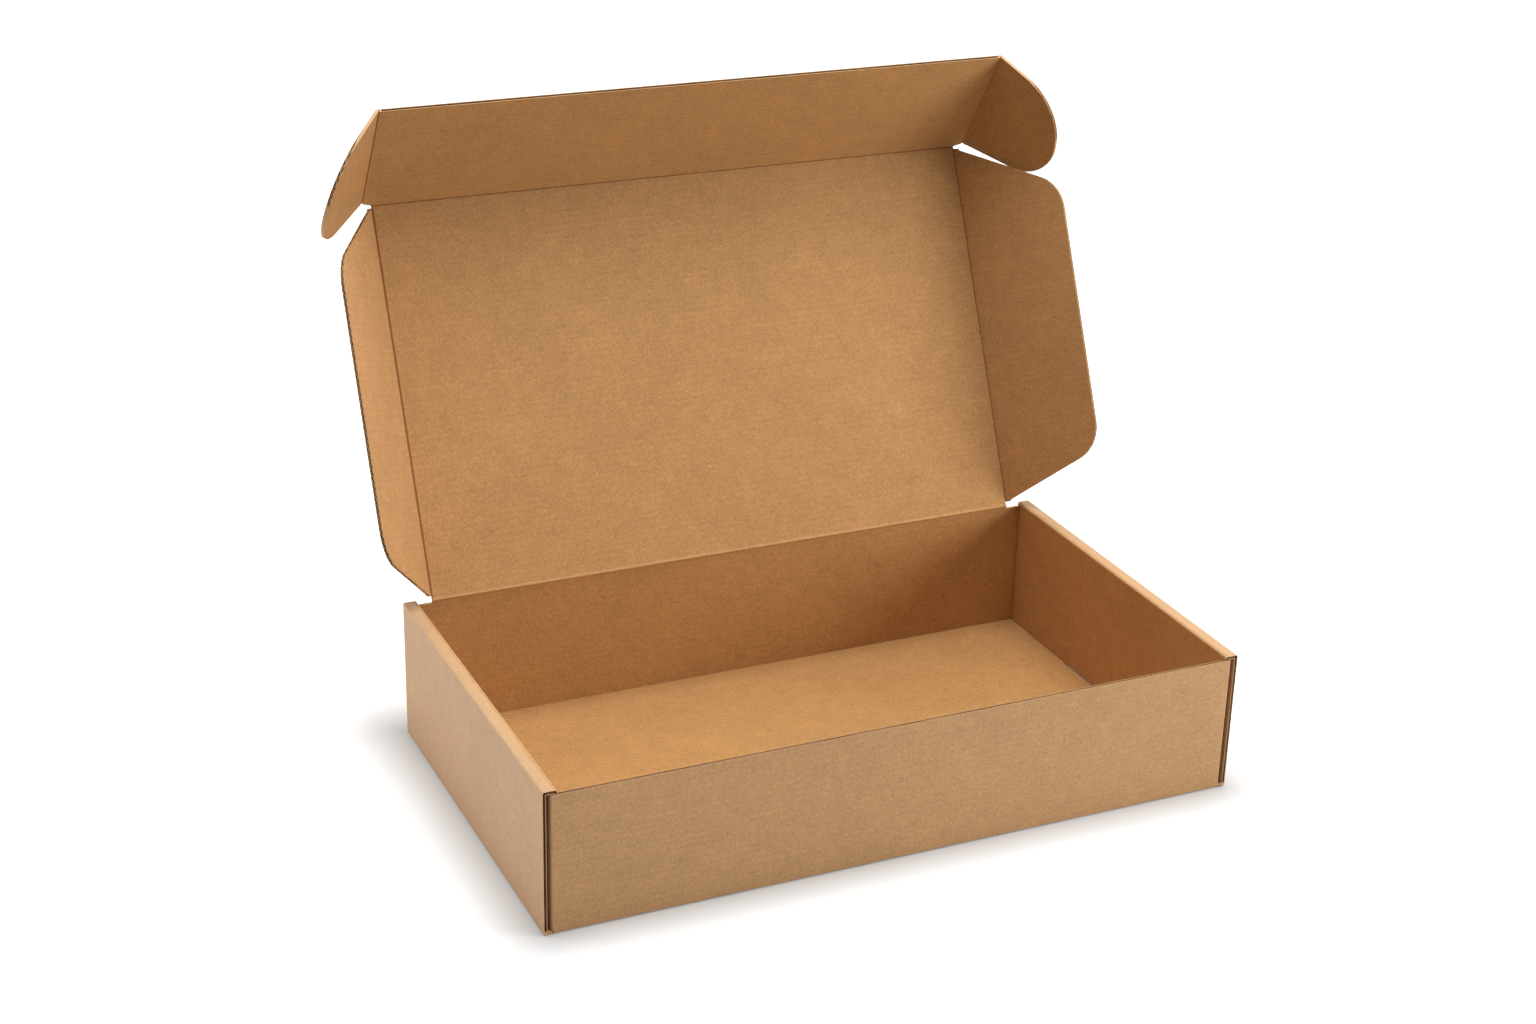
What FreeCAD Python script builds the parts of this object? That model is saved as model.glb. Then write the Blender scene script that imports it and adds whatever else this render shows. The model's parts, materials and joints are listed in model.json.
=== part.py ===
import FreeCAD
import Part
import math
import os

os.makedirs("parts", exist_ok=True)

# Roll-end tuck-front mailer box, folded from one die-cut sheet of single-wall
# E-flute board. All sizes in mm. X runs along the front, Y to the back, Z up.
# The origin is the middle of the tray's underside.

# Board
board = 1.6
half = board / 2
liner = 0.25
medium = 0.2
flute_pitch = 3.4
flute_base = 3.0
flute_inset = 0.9
flute_runout = 5.0
bend_inner = 0.2
bend_outer = 0.9

# Tray, outside sizes
box_w = 350.0
box_d = 200.0
box_h = 71.0
roll_w = 6.8
front_top_gap = 0.5
fit = 0.1
inner_wall_gap = 0.6
tab_len = 62.0
tab_lift = 0.5
corner_setback = 0.3
lock_len = 80.0
lock_y = 0.0
lock_play = 0.5
lock_side_play = 0.4
lock_lift = 0.1
inner_lift = 0.4
slit_w = board - 2 * liner
slit_depth = 1.4

# Fold lines of the lid
crease_gap = 0.3
crease_free = half + crease_gap
turn_clear = 0.15
lid_half_w = 161.6
lid_len = 195.5
lid_lean = 24.5
lid_back_fold = 110.0

# Side flaps of the lid
side_fold_right = 60.5
side_fold_left = 58.4
side_fold_max = 124.0
side_w = 61.5
side_low = 2.0
side_low_out = 24.3
side_far = 2.0
side_far_out = 32.3
side_round = 20.0
side_flute_low = 7.5
side_flute_far = 4.7

# Tuck flap along the front of the lid
tuck_fold = 57.9
tuck_fold_max = 108.5
tuck_half_w = 166.3
tuck_depth = 67.5
tuck_notch_x = 160.8
tuck_notch_s = 1.5

# Ears at the ends of the tuck flap
ear_fold_right = 61.3
ear_fold_left = 50.0
ear_low = 1.8
ear_low_v = 54.7
ear_low_s = 17.5
ear_low_round = 25.5
ear_high_v = 42.0
ear_high_s = 66.0
ear_high_round = 32.0
ear_flute_low = 4.3
ear_flute_far = 2.5

# Derived places
roll_inner = box_w / 2 - roll_w
inner_mid = roll_inner + half
tab_mid = roll_inner + board + fit + half
face_half_w = tab_mid + half - bend_outer
front_top = box_h - board - front_top_gap
hinge_y = box_d / 2 - half
hinge_z = box_h - half
back_top = hinge_z - crease_free


def v(x, y, z):
    return FreeCAD.Vector(x, y, z)


def block(x0, x1, y0, y1, z0, z1):
    return Part.makeBox(x1 - x0, y1 - y0, z1 - z0, v(x0, y0, z0))


def join(shapes):
    return shapes[0].multiFuse(shapes[1:]).removeSplitter()


def ribbon_side(points, offset):
    """Edges of one side of a path whose corners are right-angle bends."""
    edges = []
    first = None
    last = len(points) - 1
    for i in range(last):
        ax, ay = points[i]
        bx, by = points[i + 1]
        ahead = v(bx - ax, by - ay, 0)
        ahead.normalize()
        aside = v(-ahead.y, ahead.x, 0) * offset
        if first is None:
            first = v(ax, ay, 0) + aside
        final = v(bx, by, 0) + aside
        if i + 1 == last:
            edges.append(Part.LineSegment(first, final).toShape())
            break
        cx, cy = points[i + 2]
        onward = v(cx - bx, cy - by, 0)
        onward.normalize()
        corner = final + v(-onward.y, onward.x, 0) * offset
        turn = ahead.x * onward.y - ahead.y * onward.x
        radius = bend_inner if turn * offset > 0 else bend_outer
        centre = corner + (onward - ahead) * radius
        out = ahead - onward
        out.normalize()
        bend_start = corner - ahead * radius
        bend_final = corner + onward * radius
        edges.append(Part.LineSegment(first, bend_start).toShape())
        edges.append(Part.Arc(bend_start, centre + out * radius, bend_final).toShape())
        first = bend_final
    return edges


def ribbon(points, thick, depth):
    """Board of the given thickness along a path in XY, extruded along Z."""
    left = ribbon_side(points, thick / 2)
    right = ribbon_side(points, -thick / 2)
    ends = []
    ends.append(Part.LineSegment(left[0].Vertexes[0].Point, right[0].Vertexes[0].Point).toShape())
    ends.append(Part.LineSegment(left[-1].Vertexes[1].Point, right[-1].Vertexes[1].Point).toShape())
    wire = Part.Wire(Part.__sortEdges__(left + right + ends))
    return Part.Face(wire).extrude(v(0, 0, depth))


def stand_xz(shape, y):
    """A path drawn in XY stands up in XZ, running on from y along Y."""
    turned = shape.copy()
    turned.rotate(v(0, 0, 0), v(1, 0, 0), 90)
    turned.translate(v(0, y, 0))
    return turned


def stand_yz(shape, x):
    """A path drawn in XY stands up in YZ, running on from x along X."""
    turned = shape.copy()
    turned.rotate(v(0, 0, 0), v(1, 0, 0), 90)
    turned.rotate(v(0, 0, 0), v(0, 0, 1), 90)
    turned.translate(v(x, 0, 0))
    return turned


def mirrored(shape, normal):
    return shape.mirror(v(0, 0, 0), normal)


X = v(1, 0, 0)
Y = v(0, 1, 0)
Z = v(0, 0, 1)

# Tray: floor
floor_x = box_w / 2 - bend_outer
floor_y = box_d / 2 - bend_outer
corner_y = box_d / 2 - corner_setback
floor = block(-floor_x, floor_x, -floor_y, floor_y, 0, board)
patch_r = block(face_half_w + fit, floor_x, -corner_y, corner_y, 0, board)
patch_l = mirrored(patch_r, X)

# Tray: one rolled side wall, its outer panel, top strip and inner panel
inner_bottom = board + inner_lift
wall_path = []
wall_path.append((floor_x - 1, half))
wall_path.append((box_w / 2 - half, half))
wall_path.append((box_w / 2 - half, box_h - half))
wall_path.append((inner_mid, box_h - half))
wall_path.append((inner_mid, inner_bottom))
wall_r = stand_xz(ribbon(wall_path, board, box_d), box_d / 2)
inner_y = box_d / 2 - board - inner_wall_gap
clip_z = box_h - board - bend_inner
clip_a = block(roll_inner - 1, roll_inner + board + fit / 2, inner_y, box_d, 0, clip_z)
clip_b = mirrored(clip_a, Y)
wall_r = wall_r.cut(clip_a).cut(clip_b)

# Locking tab on the inner panel's lower edge
lock_y0 = lock_y - lock_len / 2
lock_y1 = lock_y + lock_len / 2
lock = block(roll_inner, roll_inner + board, lock_y0, lock_y1, lock_lift, inner_bottom + board)
slot_x0 = roll_inner - lock_side_play
slot_x1 = roll_inner + board + lock_side_play
slot = block(slot_x0, slot_x1, lock_y0 - lock_play, lock_y1 + lock_play, -1, board + 0.2)

# Slit between the liners on the front and back cut edges of the rolled wall
slit_path = []
slit_path.append((box_w / 2 - half, board + bend_inner))
slit_path.append((box_w / 2 - half, box_h - half))
slit_path.append((inner_mid, box_h - half))
slit_path.append((inner_mid, clip_z - 1))
slit_ribbon = ribbon(slit_path, slit_w, slit_depth + 1)
wall_slit_f = stand_xz(slit_ribbon, -box_d / 2 + slit_depth)
wall_slit_b = mirrored(wall_slit_f, Y)
wall_r = wall_r.cut(wall_slit_f).cut(wall_slit_b)
wall_r = wall_r.fuse(lock)
wall_l = mirrored(wall_r, X)

# Tray: front wall with the corner tabs that stand inside the rolled walls
front_path = []
front_path.append((-floor_y + 1, half))
front_path.append((-box_d / 2 + half, half))
front_path.append((-box_d / 2 + half, front_top))
front = stand_yz(ribbon(front_path, board, 2 * face_half_w), -face_half_w)
tab_path = []
tab_path.append((face_half_w - 2, -box_d / 2 + half))
tab_path.append((tab_mid, -box_d / 2 + half))
tab_path.append((tab_mid, -box_d / 2 + tab_len))
tab_z = board + tab_lift
tab_r = ribbon(tab_path, board, front_top - tab_z)
tab_r.translate(v(0, 0, tab_z))
tab_l = mirrored(tab_r, X)
slit_y = -box_d / 2 + half
front_slit = block(-face_half_w, face_half_w, slit_y - slit_w / 2, slit_y + slit_w / 2,
                   front_top - slit_depth, front_top + 1)
front = join([front, tab_r, tab_l]).cut(front_slit)

# Tray: back wall, the same with its top shaped for the lid's crease
back = mirrored(join([stand_yz(ribbon(front_path, board, 2 * face_half_w), -face_half_w),
                      tab_r, tab_l]), Y)
back_step_x = lid_half_w - crease_free
back_fill = block(-back_step_x, back_step_x, box_d / 2 - board, box_d / 2, front_top - 1, back_top)
bevel_angle = math.radians(lid_back_fold)
bevel_drop = (half + turn_clear - half * math.cos(bevel_angle)) / math.sin(bevel_angle)
bevel_z = hinge_z - bevel_drop
bevel_pts = []
bevel_pts.append(v(-box_w, hinge_y, back_top + 0.02))
bevel_pts.append(v(-box_w, box_d / 2 + 0.02, bevel_z))
bevel_pts.append(v(-box_w, box_d / 2 + 0.02, back_top + 1))
bevel_pts.append(v(-box_w, hinge_y, back_top + 1))
bevel_pts.append(bevel_pts[0])
bevel = Part.Face(Part.makePolygon(bevel_pts)).extrude(v(2 * box_w, 0, 0))
back = join([back, back_fill]).cut(bevel)

tray = join([floor, patch_r, patch_l, wall_r, wall_l, front, back])
tray = tray.cut(slot).cut(mirrored(slot, X))


def rounded_outline(points, radii):
    """Face in XY through the points, each corner rounded by its radius."""
    edges = []
    count = len(points)
    starts = []
    finals = []
    mids = []
    for i in range(count):
        px, py = points[i]
        p = v(px, py, 0)
        a = v(points[i - 1][0], points[i - 1][1], 0) - p
        b = v(points[(i + 1) % count][0], points[(i + 1) % count][1], 0) - p
        a.normalize()
        b.normalize()
        angle = a.getAngle(b)
        reach = radii[i] / math.tan(angle / 2)
        middle = a + b
        middle.normalize()
        centre = p + middle * (radii[i] / math.sin(angle / 2))
        starts.append(p + a * reach)
        finals.append(p + b * reach)
        mids.append(centre - middle * radii[i])
    for i in range(count):
        if radii[i] > 0:
            edges.append(Part.Arc(starts[i], mids[i], finals[i]).toShape())
        edges.append(Part.LineSegment(finals[i], starts[(i + 1) % count]).toShape())
    return Part.Face(Part.Wire(edges))


def plate(points, radii):
    flat = rounded_outline(points, radii).extrude(v(0, 0, board))
    flat.translate(v(0, 0, -half))
    return flat


def end_bevel(fold_max, x_axis, y0, y1):
    """Wedge cut from a panel's end so that the next panel can fold in."""
    angle = math.radians(fold_max)
    reach = half + turn_clear
    low = crease_free
    top = max(crease_free, (reach - half * math.cos(angle)) / math.sin(angle))
    mid_x = x_axis - low
    far_x = x_axis - top
    pts = []
    pts.append(v(mid_x, y0, 0))
    pts.append(v(far_x, y0, half + 0.001))
    pts.append(v(x_axis + 1, y0, half + 0.001))
    pts.append(v(x_axis + 1, y0, -half - 0.001))
    pts.append(v(mid_x, y0, -half - 0.001))
    pts.append(pts[0])
    return Part.Face(Part.makePolygon(pts)).extrude(v(0, y1 - y0, 0))


def flute_cut(along_0, along_1, across_0, across_1):
    """Open channels of the fluted core, running across the flap along local X."""
    top = half - liner
    tip = top - medium
    cells = []
    count = int((along_1 - along_0) / flute_pitch) + 1
    for i in range(count):
        middle = along_0 + i * flute_pitch
        for sign in (1, -1):
            centre = middle + (0 if sign > 0 else flute_pitch / 2)
            pts = []
            pts.append(v(across_0, centre - flute_base / 2, sign * top))
            pts.append(v(across_0, centre + flute_base / 2, sign * top))
            pts.append(v(across_0, centre, -sign * tip))
            pts.append(pts[0])
            cells.append(Part.Face(Part.makePolygon(pts)).extrude(v(across_1 - across_0, 0, 0)))
    return Part.makeCompound(cells)


def crease_bead(length_0, length_1):
    """Rounded fold edge along local Y on the axis."""
    return Part.makeCylinder(half, length_1 - length_0, v(0, length_0, 0), Y)


# Lid panel, local frame: Y away from the hinge, Z towards the inside of the box
lid_flat = block(-lid_half_w, lid_half_w, 0, lid_len + 1, -half, half)
lid_bead = Part.makeCylinder(half, 2 * back_step_x, v(-back_step_x, 0, 0), X)
side_wedge = end_bevel(side_fold_max, lid_half_w, -5, lid_len + 5)
front_wedge = end_bevel(tuck_fold_max, lid_len, -box_w, box_w)
front_wedge.rotate(v(0, 0, 0), Z, 90)
lid_flat = lid_flat.cut(side_wedge).cut(mirrored(side_wedge, X)).cut(front_wedge)
lid_panel = join([lid_flat, lid_bead])

# Side flap, local frame: X away from its fold, Y along the lid
side_high = lid_len - side_far
side_pts = []
side_pts.append((0, side_low))
side_pts.append((side_w, side_low_out))
side_pts.append((side_w, lid_len - side_far_out))
side_pts.append((0, side_high))
side_plate = plate(side_pts, [0, side_round, side_round, 0])
side_flap = join([side_plate, crease_bead(side_low, side_high)])
side_flutes = flute_cut(side_low + side_flute_low, side_high - side_flute_far,
                        crease_free + flute_inset, side_w + flute_runout)
side_flap = side_flap.cut(side_flutes)

# Tuck flap, local frame: Y away from the lid
tuck_pts = []
tuck_x = tuck_half_w - crease_free
tuck_pts.append((-tuck_notch_x, 0))
tuck_pts.append((tuck_notch_x, 0))
tuck_pts.append((tuck_x, tuck_notch_s))
tuck_pts.append((tuck_x, tuck_depth))
tuck_pts.append((-tuck_x, tuck_depth))
tuck_pts.append((-tuck_x, tuck_notch_s))
tuck_plate = plate(tuck_pts, [0, 0, 0, 0, 0, 0])
tuck_bead = Part.makeCylinder(half, 2 * tuck_notch_x, v(-tuck_notch_x, 0, 0), X)
tuck_slit = block(-tuck_x + 1, tuck_x - 1, tuck_depth - slit_depth, tuck_depth + 1,
                  -slit_w / 2, slit_w / 2)
tuck_flap = join([tuck_plate, tuck_bead]).cut(tuck_slit)

# Ear, local frame: X away from its fold, Y along the end of the tuck flap
ear_pts = []
ear_pts.append((0, ear_low))
ear_pts.append((ear_low_v, ear_low_s))
ear_pts.append((ear_high_v, ear_high_s))
ear_pts.append((0, tuck_depth))
ear_plate = plate(ear_pts, [0, ear_low_round, ear_high_round, 0])
ear = join([ear_plate, crease_bead(ear_low, tuck_depth)])
ear_flutes = flute_cut(ear_low + ear_flute_low, tuck_depth - ear_flute_far,
                       crease_free + flute_inset, ear_high_v + flute_runout)
ear = ear.cut(ear_flutes)


def fold_side(flap, fold, axis_x):
    """Turns a right-hand flap up about its fold and sets it on the fold line."""
    turned = flap.copy()
    turned.rotate(v(0, 0, 0), Y, -fold)
    turned.translate(v(axis_x, 0, 0))
    return turned


def on_tuck(shape):
    turned = shape.copy()
    turned.rotate(v(0, 0, 0), X, tuck_fold)
    turned.translate(v(0, lid_len, 0))
    return turned


def on_lid(shape):
    turned = shape.copy()
    turned.rotate(v(0, 0, 0), X, 90 - lid_lean)
    turned.translate(v(0, hinge_y, hinge_z))
    return turned


side_right = on_lid(fold_side(side_flap, side_fold_right, lid_half_w))
side_left = on_lid(mirrored(fold_side(side_flap, side_fold_left, lid_half_w), X))
tuck = on_lid(on_tuck(tuck_flap))
ear_right = on_lid(on_tuck(fold_side(ear, ear_fold_right, tuck_half_w)))
ear_left = on_lid(on_tuck(mirrored(fold_side(ear, ear_fold_left, tuck_half_w), X)))
lid = on_lid(lid_panel)

tray.exportStep("parts/tray.step")
lid.exportStep("parts/lid_panel.step")
tuck.exportStep("parts/tuck_flap.step")
side_right.exportStep("parts/side_flap_right.step")
side_left.exportStep("parts/side_flap_left.step")
ear_right.exportStep("parts/ear_right.step")
ear_left.exportStep("parts/ear_left.step")
for name, shape in (("tray", tray), ("lid_panel", lid), ("tuck_flap", tuck),
                    ("side_flap_right", side_right), ("side_flap_left", side_left),
                    ("ear_right", ear_right), ("ear_left", ear_left)):
    print(name, shape.isValid(), len(shape.Solids), round(shape.Volume, 1), len(shape.Faces))
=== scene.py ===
# %% [markdown]
# # An open mailer box of corrugated kraft board
#
# The box is one die-cut sheet of brown corrugated board, creased and folded: a shallow tray with
# rolled side walls, and a lid with a tuck flap, two ears and two side flaps. The CAD model already
# holds every panel at its true size, so this lesson spends its effort on the paper: the look of
# kraft liner, of cut edges and of creases, and on soft light that lets them show.

# %% Load the frame
import json
import math
import bpy
from mathutils import Matrix, Vector


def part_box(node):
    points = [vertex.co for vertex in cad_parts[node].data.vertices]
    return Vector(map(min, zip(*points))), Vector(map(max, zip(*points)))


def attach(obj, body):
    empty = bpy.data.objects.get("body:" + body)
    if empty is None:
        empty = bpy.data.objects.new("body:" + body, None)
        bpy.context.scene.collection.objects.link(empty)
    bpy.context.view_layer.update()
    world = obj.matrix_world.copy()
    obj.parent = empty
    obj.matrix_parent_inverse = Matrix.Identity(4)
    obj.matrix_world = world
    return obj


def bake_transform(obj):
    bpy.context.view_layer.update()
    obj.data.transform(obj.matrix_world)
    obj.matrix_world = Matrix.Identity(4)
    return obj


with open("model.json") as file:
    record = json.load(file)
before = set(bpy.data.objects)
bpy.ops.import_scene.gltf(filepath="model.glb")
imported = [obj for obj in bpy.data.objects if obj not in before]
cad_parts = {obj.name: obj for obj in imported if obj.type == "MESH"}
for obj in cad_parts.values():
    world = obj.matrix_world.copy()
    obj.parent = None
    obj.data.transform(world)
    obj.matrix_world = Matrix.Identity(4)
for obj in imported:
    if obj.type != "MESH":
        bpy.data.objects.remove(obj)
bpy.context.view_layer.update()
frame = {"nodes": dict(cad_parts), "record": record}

nodes = frame["nodes"]
joints = {joint["name"]: joint for joint in frame["record"]["behaviour"]["joints"]}
print("nodes:", sorted(nodes))

# %% [markdown]
# ## Sizes that the looks need
#
# Paper detail has real sizes, so its patterns are written in millimetres and turned to metres once.
# E-flute board is 1.6 mm thick and has a flute every 3.4 mm. Its two paper skins, called liners, are
# a quarter of a millimetre thick. Where board is cut along the flutes, a slit stays open between
# the liners, and the edge of the waved sheet inside, the medium, wanders from one to the other.
#
# A rolled side wall is 6.8 mm wide over both of its panels, and its folds are rounded to 0.9 mm.
# Pieces of board that only touch are 0.1 mm apart. The front wall ends half a millimetre lower
# than the underside of the rolled walls' top strips. The skins over the lid's creases bend within
# 1.1 mm of the fold line.

# %% Sizes
MM = 0.001
board = 1.6 * MM
half = board / 2
liner = 0.25 * MM
slit_w, slit_depth = board - 2 * liner, 1.4 * MM
flute_pitch = 3.4 * MM
roll_w, bend_outer = 6.8 * MM, 0.9 * MM
fit, front_gap = 0.1 * MM, 0.5 * MM
half_w, half_d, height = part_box("tray")[1]
front_top = height - board - front_gap
face_half_w = half_w - roll_w + 2 * board + fit - bend_outer
print("tray half width, half depth and height in mm:",
      [round(value / MM, 1) for value in (half_w, half_d, height)])

# %% [markdown]
# ## A frame for each panel
#
# The flutes run across the sheet, so every pattern has a direction. Each panel gets a matrix that
# says where its fold line is, which way it points and which side is the inside of the box. The
# texture coordinates of a panel are then measured in its own plane, like a drawing on the flat
# sheet, and they stay with it when the lid moves. The lid's matrix comes from the hinge and its
# backward lean; each flap adds its own fold to the frame of the panel that carries it.

# %% Panel frames
lid_lean, tuck_fold = 24.5, 57.9
side_fold = {"right": 60.5, "left": 58.4}
ear_fold = {"right": 61.3, "left": 50.0}


def turned(degrees, axis):
    return Matrix.Rotation(math.radians(degrees), 4, axis)


def at(joint):
    return Matrix.Translation(joints[joint]["pos_m"])


lid_turn = turned(90 - lid_lean, "X")
tuck_turn = turned(90 - lid_lean + tuck_fold, "X")
panel = {
    "lid_panel": at("lid_hinge") @ lid_turn,
    "tuck_flap": at("tuck_fold") @ tuck_turn,
    "side_flap_right": at("right_side_fold") @ lid_turn @ turned(-side_fold["right"], "Y"),
    "side_flap_left": at("left_side_fold") @ lid_turn @ turned(side_fold["left"], "Y"),
    "ear_right": at("right_ear_fold") @ tuck_turn @ turned(-ear_fold["right"], "Y"),
    "ear_left": at("left_ear_fold") @ tuck_turn @ turned(ear_fold["left"], "Y"),
}
for name, matrix in panel.items():
    inside = matrix.to_3x3() @ Vector((0, 0, 1))
    print(name, "inside faces", [round(value, 2) for value in inside])

# %% [markdown]
# ## Two small helpers
#
# Colours are picked as sRGB hex values, as in any paint program, but a shader works with linear
# light. One function makes that change. A second one adds a shader node, sets its values and links
# its inputs, so that a material reads as a list of what happens to the colour.

# %% Helpers
def linear(hex_colour):
    values = []
    for start in (1, 3, 5):
        level = int(hex_colour[start:start + 2], 16) / 255
        values.append(level / 12.92 if level <= 0.04045 else ((level + 0.055) / 1.055) ** 2.4)
    return (*values, 1.0)


def add(tree, kind, settings=None, links=None):
    made = tree.nodes.new("ShaderNode" + kind)
    for key, value in (settings or {}).items():
        if isinstance(key, str) and hasattr(made, key):
            setattr(made, key, value)
        else:
            made.inputs[key].default_value = value
    for key, socket in (links or {}).items():
        tree.links.new(socket, made.inputs[key])
    return made


print("kraft brown in linear light:", [round(value, 3) for value in linear("#C49562")])

# %% [markdown]
# ## Where a point lies on its panel
#
# The first step of the material turns a point and its normal into the panel's own frame. A mapping
# node of type Texture applies a placement backwards, which is just what is needed. On the tray the
# frame of the whole box serves.

# %% Coordinates
def panel_coordinates(tree, matrix):
    coords = add(tree, "TexCoord")
    if matrix is None:
        return coords.outputs["Object"], coords.outputs["Normal"]
    placed = {"vector_type": "TEXTURE", 1: matrix.to_translation(), 2: matrix.to_euler()}
    turned_only = {"vector_type": "TEXTURE", 2: matrix.to_euler()}
    place = add(tree, "Mapping", placed, {0: coords.outputs["Object"]})
    facing = add(tree, "Mapping", turned_only, {0: coords.outputs["Normal"]})
    return place.outputs[0], facing.outputs[0]


def size_of_axes(tree, vector):
    """The three parts of a vector without their signs."""
    plain = add(tree, "VectorMath", {"operation": "ABSOLUTE"}, {0: vector})
    return add(tree, "SeparateXYZ", {}, {0: plain.outputs[0]}).outputs


print("panels with a frame of their own:", len(panel))

# %% [markdown]
# ## Kraft liner
#
# The skin of the board is unbleached kraft paper: matte, brown, and made of long fibres pressed
# together wet. It is cloudy, because the fibres lie thicker in some places, it has a fine curly
# grain, and the flutes under it show as faint lines, called washboard, that run along the flutes.
#
# Four sizes of noise add up to one brightness: clouds of 45 mm, mottling of 9 mm, curls of 2.2 mm
# and grain of 0.9 mm. Real fibres are thinner than a pixel here, so the curls stand for bundles of
# them. The washboard is a sine with one wave to each flute, which the mottling fades in and out.

# %% Paper tone
# name, size, detail, curl and how much it changes the brightness
patterns = (("clouds", 45 * MM, 2.0, 0.0, 0.20), ("mottling", 9 * MM, 3.0, 0.4, 0.22),
            ("curls", 2.2 * MM, 2.0, 2.2, 0.55), ("grain", 0.9 * MM, 2.0, 0.8, 0.6))
washboard_amount, washboard_height, curl_height = 0.035, 0.12, 0.5


def paper_tone(tree, place, along):
    """Brightness around 1, and the height that the bump uses."""
    made, base = {}, 1.0
    for name, size, detail, curl, amount in patterns:
        settings = {"Scale": 1 / size, "Detail": detail, "Distortion": curl}
        made[name] = add(tree, "TexNoise", settings, {"Vector": place}).outputs[0]
        base -= amount / 2
    phase = add(tree, "Math", {"operation": "MULTIPLY", 1: 2 * math.pi / flute_pitch}, {0: along})
    wave = add(tree, "Math", {"operation": "SINE"}, {0: phase.outputs[0]})
    washboard = add(tree, "Math", {"operation": "MULTIPLY"}, {0: wave.outputs[0], 1: made["mottling"]})
    level = add(tree, "Math", {"operation": "MULTIPLY_ADD", 1: washboard_amount, 2: base},
                {0: washboard.outputs[0]})
    for name, _, _, _, amount in patterns:
        level = add(tree, "Math", {"operation": "MULTIPLY_ADD", 1: amount},
                    {0: made[name], 2: level.outputs[0]})
    relief = add(tree, "Math", {"operation": "MULTIPLY_ADD", 1: curl_height},
                 {0: made["curls"], 2: made["grain"]})
    relief = add(tree, "Math", {"operation": "MULTIPLY_ADD", 1: washboard_height},
                 {0: washboard.outputs[0], 2: relief.outputs[0]})
    return level.outputs[0], relief.outputs[0]


print("paper tone:", [pattern[0] for pattern in patterns],
      "and a wave every", round(flute_pitch / MM, 1), "mm")

# %% [markdown]
# Pale single fibres and dark specks of bark sit on top of that tone. The fibres are the thin ridges
# of a curled noise, the specks are the highest peaks of another one.

# %% Fibres and specks
fibre_tan, bark_brown = "#E2BE94", "#6E4A2A"
fibre_size, speck_size = 4 * MM, 1.7 * MM


def fibres_and_specks(tree, place, colour):
    ridges = add(tree, "TexNoise", {"noise_type": "RIDGED_MULTIFRACTAL", "Scale": 1 / fibre_size,
                                    "Detail": 2.0, "Distortion": 1.6}, {"Vector": place})
    fibre_mask = add(tree, "MapRange", {"From Min": 0.9, "From Max": 1.4, "To Max": 0.14},
                     {0: ridges.outputs[0]})
    fibrous = add(tree, "Mix", {"data_type": "RGBA", 7: linear(fibre_tan)},
                  {0: fibre_mask.outputs[0], 6: colour})
    peaks = add(tree, "TexNoise", {"Scale": 1 / speck_size, "Detail": 1.0}, {"Vector": place})
    speck_mask = add(tree, "MapRange", {"From Min": 0.74, "From Max": 0.82, "To Max": 0.3},
                     {0: peaks.outputs[0]})
    specked = add(tree, "Mix", {"data_type": "RGBA", 7: linear(bark_brown)},
                  {0: speck_mask.outputs[0], 6: fibrous.outputs[2]})
    return specked.outputs[2]


print("fibres", fibre_tan, "and specks of bark", bark_brown)

# %% [markdown]
# ## Which faces are inside, cut or folded
#
# The outside of the box is the better liner: a little paler and pressed smoother, so that it shines
# softly when seen at a slant. Cut edges are paler and rougher, since the knife opens the paper. On
# a flap, the inside is the side that its frame points to and a cut edge is any face that looks
# sideways. On the tray they are found by where they are: what lies within the walls is inside, the
# front wall's top and the ends of the rolled walls are cut. A tenth of a millimetre to spare keeps
# flat faces off the limits. Folds are paled partly as wear and partly as a painted highlight, and the
# strip on top of a rolled wall is paled as a fold is.

# %% Masks
spare, top_band, beside_roll = 0.1 * MM, 0.4 * MM, 1 * MM


def flap_masks(tree, facing):
    looks = add(tree, "SeparateXYZ", {}, {0: facing})
    inside = add(tree, "MapRange", {"From Min": -0.4, "From Max": 0.4}, {0: looks.outputs["Z"]})
    flat = size_of_axes(tree, facing)["Z"]
    cut = add(tree, "MapRange", {"From Min": 0.35, "From Max": 0.15}, {0: flat})
    fold = add(tree, "MapRange", {"From Min": 0.98, "From Max": 0.7}, {0: flat})
    return inside.outputs[0], cut.outputs[0], fold.outputs[0]


def joined(tree, operation, masks):
    """MINIMUM keeps what all masks share, MAXIMUM what any of them covers."""
    result = masks[0]
    for mask in masks[1:]:
        result = add(tree, "Math", {"operation": operation}, {0: result, 1: mask}).outputs[0]
    return result


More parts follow.
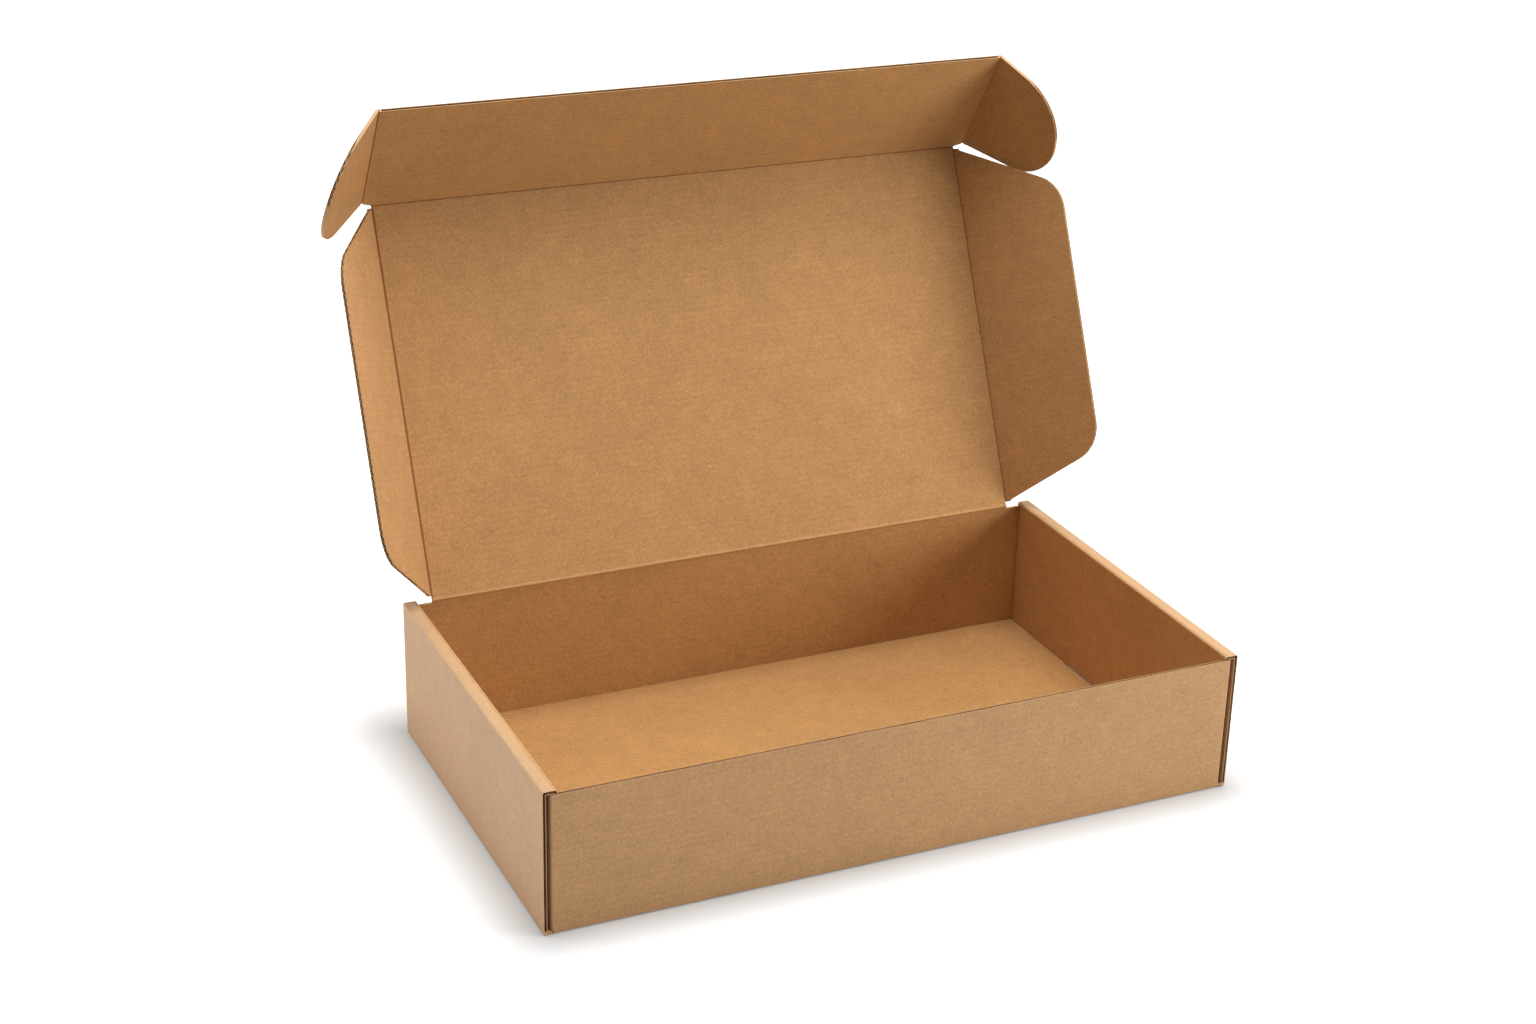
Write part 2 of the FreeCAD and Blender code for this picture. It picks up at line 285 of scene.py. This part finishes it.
def tray_masks(tree, place, facing):
    sideways = size_of_axes(tree, facing)
    reach = size_of_axes(tree, place)
    tests = {"between_rolls": (reach["X"], "LESS_THAN", half_w - roll_w + board + spare),
             "between_walls": (reach["Y"], "LESS_THAN", half_d - half),
             "over_floor": (reach["Z"], "GREATER_THAN", half),
             "in_side_wall": (reach["X"], "GREATER_THAN", half_w - board - spare),
             "over_front_wall": (reach["Z"], "GREATER_THAN", front_top + spare),
             "under_slit_top": (reach["Z"], "LESS_THAN", front_top + spare),
             "at_front_top": (reach["Z"], "GREATER_THAN", front_top - spare),
             "end_on": (sideways["Y"], "GREATER_THAN", 0.9),
             "level": (sideways["Z"], "GREATER_THAN", 0.9),
             "at_the_top": (reach["Z"], "GREATER_THAN", height - top_band),
             "over_roll": (reach["X"], "GREATER_THAN", half_w - roll_w - beside_roll)}
    mask = {}
    for name, (socket, operation, limit) in tests.items():
        mask[name] = add(tree, "Math", {"operation": operation, 1: limit}, {0: socket}).outputs[0]
    inside = joined(tree, "MINIMUM", [mask["between_rolls"], mask["between_walls"], mask["over_floor"]])
    rolled = joined(tree, "MAXIMUM", [mask["in_side_wall"], mask["over_front_wall"]])
    ends = joined(tree, "MINIMUM", [mask["end_on"], rolled])
    tops = joined(tree, "MINIMUM", [mask["under_slit_top"], mask["at_front_top"], mask["level"]])
    cut = joined(tree, "MAXIMUM", [ends, tops])
    largest = joined(tree, "MAXIMUM", [sideways["X"], sideways["Y"], sideways["Z"]])
    bend = add(tree, "MapRange", {"From Min": 0.995, "From Max": 0.75}, {0: largest})
    strip = joined(tree, "MINIMUM", [mask["at_the_top"], mask["over_roll"]])
    return inside, cut, joined(tree, "MAXIMUM", [bend.outputs[0], strip])


print("the front wall's cut edge lies at", round(front_top / MM, 1), "mm")

# %% [markdown]
# ## The whole board
#
# The colours of the two liners are mixed by the inside mask, multiplied by the tone, sprinkled with
# fibres and specks, and paled where the sheet is cut, and where it is folded as wear and a painted
# highlight. Paper hardly shines, so most of the light comes from its colour; the outside liner has a
# faint sheen that shows at a slant. Its values are set straight on the shader, and only what changes
# from place to place is linked. The insides of the tray, of the tuck flap and of the ears are a
# little darker and warmer than the lid: painted shade, since these insides get less light.

# %% The kraft material
inside_tan, outside_tan, edge_tan = "#C49562", "#C69763", "#DDBA92"
# The tray and tuck tans are painted shade: darker, warmer insides where less light falls.
tray_shade_tan, tuck_shade_tan, groove_shade_tan = "#BF905B", "#B98B57", "#9C6E44"


def kraft_board(name, matrix=None, inner_hex=inside_tan, cut_amount=0, fold_wear_and_highlight=0.18):
    material = bpy.data.materials.new(name)
    material.use_nodes = True
    tree = material.node_tree
    shader = tree.nodes["Principled BSDF"]
    shader.inputs["IOR"].default_value = 1.47
    shader.inputs["Sheen Roughness"].default_value = 0.5
    place, facing = panel_coordinates(tree, matrix)
    where = add(tree, "SeparateXYZ", {}, {0: place}).outputs
    if matrix is None:
        inside, cut, fold = tray_masks(tree, place, facing)
        upright = add(tree, "Math", {"operation": "GREATER_THAN", 1: 0.5},
                      {0: size_of_axes(tree, facing)["Y"]})
        along = add(tree, "Mix", {"data_type": "FLOAT"},
                    {0: upright.outputs[0], 2: where["Y"], 3: where["Z"]}).outputs[0]
    else:
        inside, cut, fold = flap_masks(tree, facing)
        along = where["Y"]

    for socket, outer, inner in (("Roughness", 0.55, 0.85), ("Sheen Weight", 0.25, 0.05),
                                 ("Specular IOR Level", 0.4, 0.12)):
        by_side = add(tree, "Mix", {"data_type": "FLOAT", 2: outer, 3: inner}, {0: inside})
        tree.links.new(by_side.outputs[0], shader.inputs[socket])

    liners = add(tree, "Mix", {"data_type": "RGBA", 6: linear(outside_tan), 7: linear(inner_hex)},
                 {0: inside})
    level, relief = paper_tone(tree, place, along)
    toned = add(tree, "VectorMath", {"operation": "SCALE"}, {0: liners.outputs[2], 3: level})
    colour = fibres_and_specks(tree, place, toned.outputs[0])
    # Folds are paled partly as wear and partly as a painted highlight; cut edges as opened paper.
    for mask, amount in ((fold, fold_wear_and_highlight), (cut, cut_amount)):
        share = add(tree, "Math", {"operation": "MULTIPLY", 1: amount}, {0: mask})
        paled = add(tree, "Mix", {"data_type": "RGBA", 7: linear(edge_tan)},
                    {0: share.outputs[0], 6: colour})
        colour = paled.outputs[2]
    tree.links.new(colour, shader.inputs["Base Color"])
    bump = add(tree, "Bump", {"Strength": 0.5, "Distance": 0.09 * MM}, {"Height": relief})
    tree.links.new(bump.outputs[0], shader.inputs["Normal"])
    print("made", name, "with", len(tree.nodes), "nodes")
    return material


# %% [markdown]
# One sheet makes the whole box, so each panel gets the same board in its own frame. The flaps' cut
# edges are paled less than the ends of the tray's rolled walls.

# %% Give every node its board
nodes["tray"].data.materials.clear()
tray_kraft = kraft_board("kraft_board_tray", inner_hex=tray_shade_tan, cut_amount=0.5, fold_wear_and_highlight=0.3)
nodes["tray"].data.materials.append(tray_kraft)
for name, matrix in panel.items():
    nodes[name].data.materials.clear()
    # The tuck flap and the ears take the darker tan of painted shade on their insides.
    inner_hex = tuck_shade_tan if name.startswith(("tuck", "ear")) else inside_tan
    kraft = kraft_board("kraft_board_" + name, matrix, inner_hex, cut_amount=0.35)
    nodes[name].data.materials.append(kraft)
print("dressed", len(panel) + 1, "nodes")

# %% [markdown]
# ## Creases
#
# On the real box both liners run on over each fold without a break. The CAD model has a fine
# running gap there, so that the panels can turn. Thin skins of liner close it. Each is a profile
# swept along the fold as it stands in this pose.
#
# The outer profile lies on the outside of one panel, goes round the fold edge and ends on the next
# panel. The inner one lies just under the inside faces and shows only in the gap, as the fine
# sunken line that a creasing rule leaves. The profiles are drawn in the frame of the panel before
# the fold, with X across the fold and Z towards the inside of the box.

# %% Crease profiles
lift = 0.05 * MM
overlap = (0.9, 1.6, 2.4)
tucked_in, dip = 0.2 * MM, 0.03 * MM


def outer_profile(fold):
    radius = half + lift
    angle = math.radians(fold)
    ahead = Vector((math.cos(angle), math.sin(angle)))
    out = Vector((ahead.y, -ahead.x))
    points = [Vector((-2.5 * MM, -half + tucked_in))]
    points += [Vector((-distance * MM, -radius)) for distance in reversed(overlap)]
    steps = 8 if fold > 0 else 0
    for step in range(steps + 1):
        turn = -math.pi / 2 + angle * step / max(steps, 1)
        points.append(Vector((math.cos(turn), math.sin(turn))) * radius)
    if fold < 0:
        points[-1] = Vector((math.tan(angle / 2) * radius, -radius))
    points += [ahead * distance * MM + out * radius for distance in overlap]
    points.append(ahead * 2.5 * MM + out * (half - tucked_in))
    return points


def inner_profile(fold, sink):
    """sink is how deep the line lies under the inside faces; a negative one makes a ridge."""
    angle = math.radians(fold)
    ahead = Vector((math.cos(angle), math.sin(angle)))
    inward = Vector((-ahead.y, ahead.x))
    corner = Vector((-math.tan(angle / 2) * half, half))
    deeper = (inward + Vector((0, 1))).normalized() * -sink
    slope = ((1.8, 0.0), (1.3, 0.0), (0.8, 0.5), (0.35, 0.9))
    points = [corner + Vector((-distance * MM, -dip)) + deeper * share for distance, share in slope]
    points.append(corner + deeper)
    for distance, share in reversed(slope):
        points.append(corner + ahead * distance * MM - inward * dip + deeper * share)
    return points


print("outer profile of the tuck crease has", len(outer_profile(tuck_fold)), "points")

# %% [markdown]
# The sweep makes a row of points about every four millimetres and turns the faces so that they look
# away from the board. The last lines give the skin its material and bake its place into the mesh.

# %% Sweep a crease skin
row_step = 4 * MM


def crease_skin(name, carrier, profile, low, high, material, side=1, looks_in=False):
    rows = max(2, int((high - low) / row_step))
    width = len(profile)
    points, faces = [], []
    for row in range(rows + 1):
        place = low + (high - low) * row / rows
        points += [carrier @ Vector((side * point.x, place, point.y)) for point in profile]
    for row in range(rows):
        for column in range(width - 1):
            first = row * width + column
            corners = [first, first + 1, first + 1 + width, first + width]
            faces.append(corners if (side > 0) != looks_in else corners[::-1])
    mesh = bpy.data.meshes.new(name)
    mesh.from_pydata(points, [], faces)
    mesh.update()
    mesh.polygons.foreach_set("use_smooth", [True] * len(mesh.polygons))
    skin = bpy.data.objects.new(name, mesh)
    bpy.context.scene.collection.objects.link(skin)
    skin.data.materials.append(material)
    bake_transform(skin)
    print(name, "is", round((high - low) / MM, 1), "mm long with", len(faces), "faces")


# %% [markdown]
# The lid's side creases and the ears' creases run along the Y of their panel. The two long creases
# run along X, so their frames get a quarter turn that lays the fold line along Y. The groove inside
# a fold is a third of a millimetre deep, and its paper is painted darker as shade in the narrow
# groove. The hinge crease bends the other way, so its inner liner stands up as a soft ridge.

# %% The six creases
lid_low, lid_high, ear_low, ear_high = 2.2 * MM, 193.3 * MM, 2.0 * MM, 67.3 * MM
tuck_end, hinge_end = 160.6 * MM, 160.3 * MM
groove, ridge = 0.32 * MM, -0.45 * MM
lid_skin = kraft_board("kraft_crease_lid", panel["lid_panel"])
# These two boards paint the inside of each groove darker, as painted shade in the narrow groove.
lid_groove = kraft_board("kraft_groove_lid", panel["lid_panel"], groove_shade_tan, fold_wear_and_highlight=0)
tuck_groove = kraft_board("kraft_groove_tuck", panel["tuck_flap"], groove_shade_tan, fold_wear_and_highlight=0)
tuck_skin = kraft_board("kraft_crease_tuck", panel["tuck_flap"], tuck_shade_tan)
back_wall = at("lid_hinge") @ turned(90, "X")
wall_skin = kraft_board("kraft_crease_tray", back_wall, tray_shade_tan)
quarter = turned(90, "Z")
tuck_line = at("tuck_fold") @ lid_turn @ quarter

for hand, side in (("right", 1), ("left", -1)):
    lid_line = at(hand + "_side_fold") @ lid_turn
    ear_line = at(hand + "_ear_fold") @ tuck_turn
    crease_skin("crease_side_" + hand, lid_line, outer_profile(side_fold[hand]),
                lid_low, lid_high, lid_skin, side)
    crease_skin("crease_side_inner_" + hand, lid_line, inner_profile(side_fold[hand], groove),
                lid_low, lid_high, lid_groove, side, looks_in=True)
    crease_skin("crease_ear_" + hand, ear_line, outer_profile(ear_fold[hand]),
                ear_low, ear_high, tuck_skin, side)
    crease_skin("crease_ear_inner_" + hand, ear_line, inner_profile(ear_fold[hand], groove),
                ear_low, ear_high, tuck_groove, side, looks_in=True)

crease_skin("crease_tuck", tuck_line, outer_profile(tuck_fold),
            -tuck_end, tuck_end, lid_skin)
crease_skin("crease_tuck_inner", tuck_line, inner_profile(tuck_fold, groove),
            -tuck_end, tuck_end, lid_groove, looks_in=True)
crease_skin("crease_hinge", back_wall @ quarter, outer_profile(-lid_lean),
            -hinge_end, hinge_end, wall_skin)
crease_skin("crease_hinge_inner", back_wall @ quarter, inner_profile(-lid_lean, ridge),
            -hinge_end, hinge_end, wall_skin, looks_in=True)

# %% [markdown]
# ## The core in the slits
#
# Where the board is cut along its flutes, one looks between the liners at the edge of the medium.
# The cut is never quite in line with the flutes, so that edge wanders slowly from one liner to the
# other and breaks the dark slit into two uneven lines. It is drawn as a thin ribbon that follows
# the slit. The real hollow is far deeper than the modelled slit, so the slit's floor gets a strip of
# painted shade, in the dark brown of a core that no light reaches.

# %% Materials of the core
medium_paper = bpy.data.materials.new("fluting_medium_paper")
painted_shade_core = bpy.data.materials.new("core_painted_shade")
# The second material is painted shade: the near-black brown of a hollow that no light reaches.
for material, dark, light, rough in ((medium_paper, "#553618", "#8A6238", 0.9),
                                     (painted_shade_core, "#1E120A", "#38230F", 1.0)):
    material.use_nodes = True
    tree = material.node_tree
    shader = tree.nodes["Principled BSDF"]
    shader.inputs["Roughness"].default_value = rough
    shader.inputs["Specular IOR Level"].default_value = 0.05
    coords = add(tree, "TexCoord")
    fuzz = add(tree, "TexNoise", {"Scale": 1 / (1.5 * MM), "Detail": 2.0},
               {"Vector": coords.outputs["Object"]})
    tone = add(tree, "Mix", {"data_type": "RGBA", 6: linear(dark), 7: linear(light)},
               {0: fuzz.outputs[0]})
    tree.links.new(tone.outputs[2], shader.inputs["Base Color"])
print("core materials:", medium_paper.name, painted_shade_core.name)


# %% [markdown]
# The ribbon and the strip both follow the middle of a slit, which may turn a corner. One function
# walks along it in steps of about two millimetres and says at each place which way is across.

# %% Places along a slit
station_step = 2 * MM


def stations_along(path, inward):
    """Places along the path, with the direction across the slit and the way so far."""
    stations, travelled = [], 0.0
    for start, end in zip(path, path[1:]):
        length = (end - start).length
        across = (end - start).normalized().cross(inward)
        count = max(1, round(length / station_step))
        for step in range(count):
            stations.append((start.lerp(end, step / count), across, travelled + length * step / count))
        travelled += length
    stations.append((path[-1], across, travelled))
    return stations


test_slit = [Vector((0, 0, 0)), Vector((100 * MM, 0, 0))]
print(len(stations_along(test_slit, Vector((0, 0, 1)))), "places on 100 mm of slit")

# %% [markdown]
# The ribbon swings from side to side about once in 50 mm, and a slower swing makes it uneven. Each
# station has six points: two for the painted-shade strip on the slit's floor and four for the ribbon.

# %% Draw the core along a slit
ribbon_half, ribbon_depth, wander_reach, strip_lift = 0.1 * MM, 0.12 * MM, 0.36 * MM, 0.06 * MM


def slit_core(name, path, inward, body, wander=0.0):
    """path runs in the middle of the slit on the cut face; inward points into the board."""
    points, faces, looks = [], [], []
    stations = stations_along(path, inward)
    for place, across, travelled in stations:
        phase = travelled / MM / 8.3 + wander
        offset = wander_reach * math.sin(phase + 1.9 * math.sin(phase / 3.2)) * across
        for side in (-1, 1):
            points.append(place + across * side * slit_w / 2 + inward * (slit_depth - strip_lift))
        for side, depth in ((-1, slit_depth), (-1, ribbon_depth), (1, ribbon_depth), (1, slit_depth)):
            points.append(place + offset + across * side * ribbon_half + inward * depth)
    for station in range(len(stations) - 1):
        first = 6 * station
        for low, high, look in ((0, 1, 1), (2, 3, 0), (3, 4, 0), (4, 5, 0)):
            faces.append([first + low, first + high, first + high + 6, first + low + 6])
            looks.append(look)
    mesh = bpy.data.meshes.new(name)
    mesh.from_pydata(points, [], faces)
    mesh.materials.append(medium_paper)
    mesh.materials.append(painted_shade_core)
    mesh.polygons.foreach_set("material_index", looks)
    mesh.update()
    core = bpy.data.objects.new(name, mesh)
    bpy.context.scene.collection.objects.link(core)
    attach(core, body)
    print(name, "follows", round(stations[-1][2] / MM), "mm of slit")


# %% [markdown]
# Six slits show: one along the front wall's top, one over each end of the two rolled side walls and
# one along the free edge of the tuck flap. At an end of a rolled wall the slit goes up the outer
# panel, across the top and a little way down the inner one.

# %% The six slits that show
slit_end, fold_cut, low_start = 0.2 * MM, 0.5 * MM, 0.3 * MM
slit_core("core_front_wall", [Vector((-face_half_w + slit_end, -half_d + half, front_top)),
                              Vector((face_half_w - slit_end, -half_d + half, front_top))],
          Vector((0, 0, -1)), "tray")
outer_mid, inner_mid = half_w - half, half_w - roll_w + half
corners = ((outer_mid, board + low_start), (outer_mid, height - half - fold_cut),
           (outer_mid - fold_cut, height - half), (inner_mid + fold_cut, height - half),
           (inner_mid, height - half - fold_cut), (inner_mid, height - board - low_start))
for hand, side in (("right", 1), ("left", -1)):
    for end, toward in (("front", 1), ("back", -1)):
        path = [Vector((side * x, -toward * half_d, z)) for x, z in corners]
        slit_core("core_" + end + "_" + hand, path, Vector((0, toward, 0)), "tray",
                  wander=side + 2 * toward)
ear_crease_room, tuck_depth = 2.3 * MM, 67.5 * MM
tuck_half = joints["right_ear_fold"]["pos_m"][0] - ear_crease_room
tuck_edge = [panel["tuck_flap"] @ Vector((x, tuck_depth, 0)) for x in (-tuck_half, tuck_half)]
slit_core("core_tuck_edge", tuck_edge, panel["tuck_flap"].to_3x3() @ Vector((0, -1, 0)), "tuck",
          wander=1.3)

# %% [markdown]
# ## Floor
#
# The photograph is a catalogue picture on white: no horizon, and a soft shadow close to the box.
# The floor is a pale grey sheet. Where the camera, or a reflection, looks at it, it is lifted to
# white beyond a few centimetres from the tray, so that only the near shadow stays. The light that it
# throws onto the box is that of the plain grey sheet.

# %% Floor
def seen_directly(tree):
    """1 for rays of the camera, of reflections and through glass, 0 for all others."""
    rays = add(tree, "LightPath")
    kinds = [rays.outputs[kind] for kind in ("Is Camera Ray", "Is Glossy Ray", "Is Transmission Ray")]
    return joined(tree, "MAXIMUM", kinds)


floor_mesh = bpy.data.meshes.new("floor_sheet")
span, under = 4.0, -0.3 * MM
white_from = 55 * MM
floor_mesh.from_pydata([(-span, -span, under), (span, -span, under), (span, span, under),
                        (-span, span, under)], [], [(0, 1, 2, 3)])
floor = bpy.data.objects.new("floor_sheet", floor_mesh)
bpy.context.scene.collection.objects.link(floor)
paper = bpy.data.materials.new("white_paper_sweep")
paper.use_nodes = True
tree = paper.node_tree
shader = tree.nodes["Principled BSDF"]
shader.inputs["Base Color"].default_value = linear("#CFCFCF")
shader.inputs["Roughness"].default_value = 0.9
shader.inputs["Specular IOR Level"].default_value = 0.0
shader.inputs["Emission Color"].default_value = (1, 1, 1, 1)
spot = add(tree, "TexCoord")
spread = add(tree, "VectorMath", {"operation": "ABSOLUTE"}, {0: spot.outputs["Object"]})
beyond = add(tree, "VectorMath", {"operation": "SUBTRACT", 1: (half_w, half_d, 1.0)},
             {0: spread.outputs[0]})
beyond = add(tree, "VectorMath", {"operation": "MAXIMUM", 1: (0, 0, 0)}, {0: beyond.outputs[0]})
away = add(tree, "VectorMath", {"operation": "LENGTH"}, {0: beyond.outputs[0]})
lift_here = add(tree, "MapRange", {"From Max": white_from, "To Min": 0.12, "To Max": 0.95},
                {0: away.outputs["Value"]})
lifted = add(tree, "Math", {"operation": "MULTIPLY"}, {0: lift_here.outputs[0], 1: seen_directly(tree)})
tree.links.new(lifted.outputs[0], shader.inputs["Emission Strength"])
floor.data.materials.append(paper)
print("floor is", 2 * span, "m wide")


# %% [markdown]
# ## Light
#
# A broad softbox hangs overhead. A lower lamp stands to the right and in front. It reaches the lid
# and its left flap, but in the tray little more than the far left corner, since the right and the
# front wall shade the rest. A weak lamp behind at the left lifts the outer left wall. The world
# gives the object a little light from all sides, and shows white only to the camera and in
# reflections.

# %% Light
all_round, white = 0.05, 1.0


def soft_lamp(name, place, target, size, watts):
    lamp = bpy.data.lights.new(name, "AREA")
    lamp.shape = "SQUARE"
    lamp.size = size
    lamp.energy = watts
    holder = bpy.data.objects.new(name, lamp)
    holder.location = place
    holder.rotation_euler = (Vector(target) - Vector(place)).to_track_quat("-Z", "Y").to_euler()
    bpy.context.scene.collection.objects.link(holder)
    print(name, "is", round((Vector(target) - Vector(place)).length, 2), "m away")


soft_lamp("overhead_softbox", (0.1, 0.14, 1.5), (0, 0, 0.1), 1.4, 30)
soft_lamp("key_right", (1.1, -0.8, 0.42), (0, 0, 0.15), 0.6, 11.5)
soft_lamp("fill_left", (-0.95, 0.5, 0.2), (-0.2, 0, 0.03), 0.4, 4)
world = bpy.data.worlds.new("white_room")
bpy.context.scene.world = world
world.use_nodes = True
room = world.node_tree
strength = add(room, "Mix", {"data_type": "FLOAT", 2: all_round, 3: white}, {0: seen_directly(room)})
room.links.new(strength.outputs[0], room.nodes["Background"].inputs["Strength"])
room.nodes["Background"].inputs["Color"].default_value = (1, 1, 1, 1)
bpy.context.scene.view_settings.view_transform = "Standard"

# %% [markdown]
# ## Camera
#
# The camera stands where the corners of the box fall on those of the photograph: a 60 mm lens on a
# 36 mm wide frame, above the front and to the left, turned down on the tray.

# %% Camera
camera_data = bpy.data.cameras.new("camera")
camera_data.sensor_width = 36
camera_data.sensor_fit = "HORIZONTAL"
camera_data.lens = 60.08
camera = bpy.data.objects.new("camera", camera_data)
turn = Matrix(((0.910687, 0.145043, -0.386797), (-0.41244, 0.372039, -0.831553),
               (0.023293, 0.916815, 0.398633)))
camera.matrix_world = Matrix.Translation((-0.48969, -0.9955, 0.61359)) @ turn.to_4x4()
bpy.context.scene.collection.objects.link(camera)
bpy.context.scene.camera = camera
print("camera is", round(camera.location.length, 2), "m from the box")
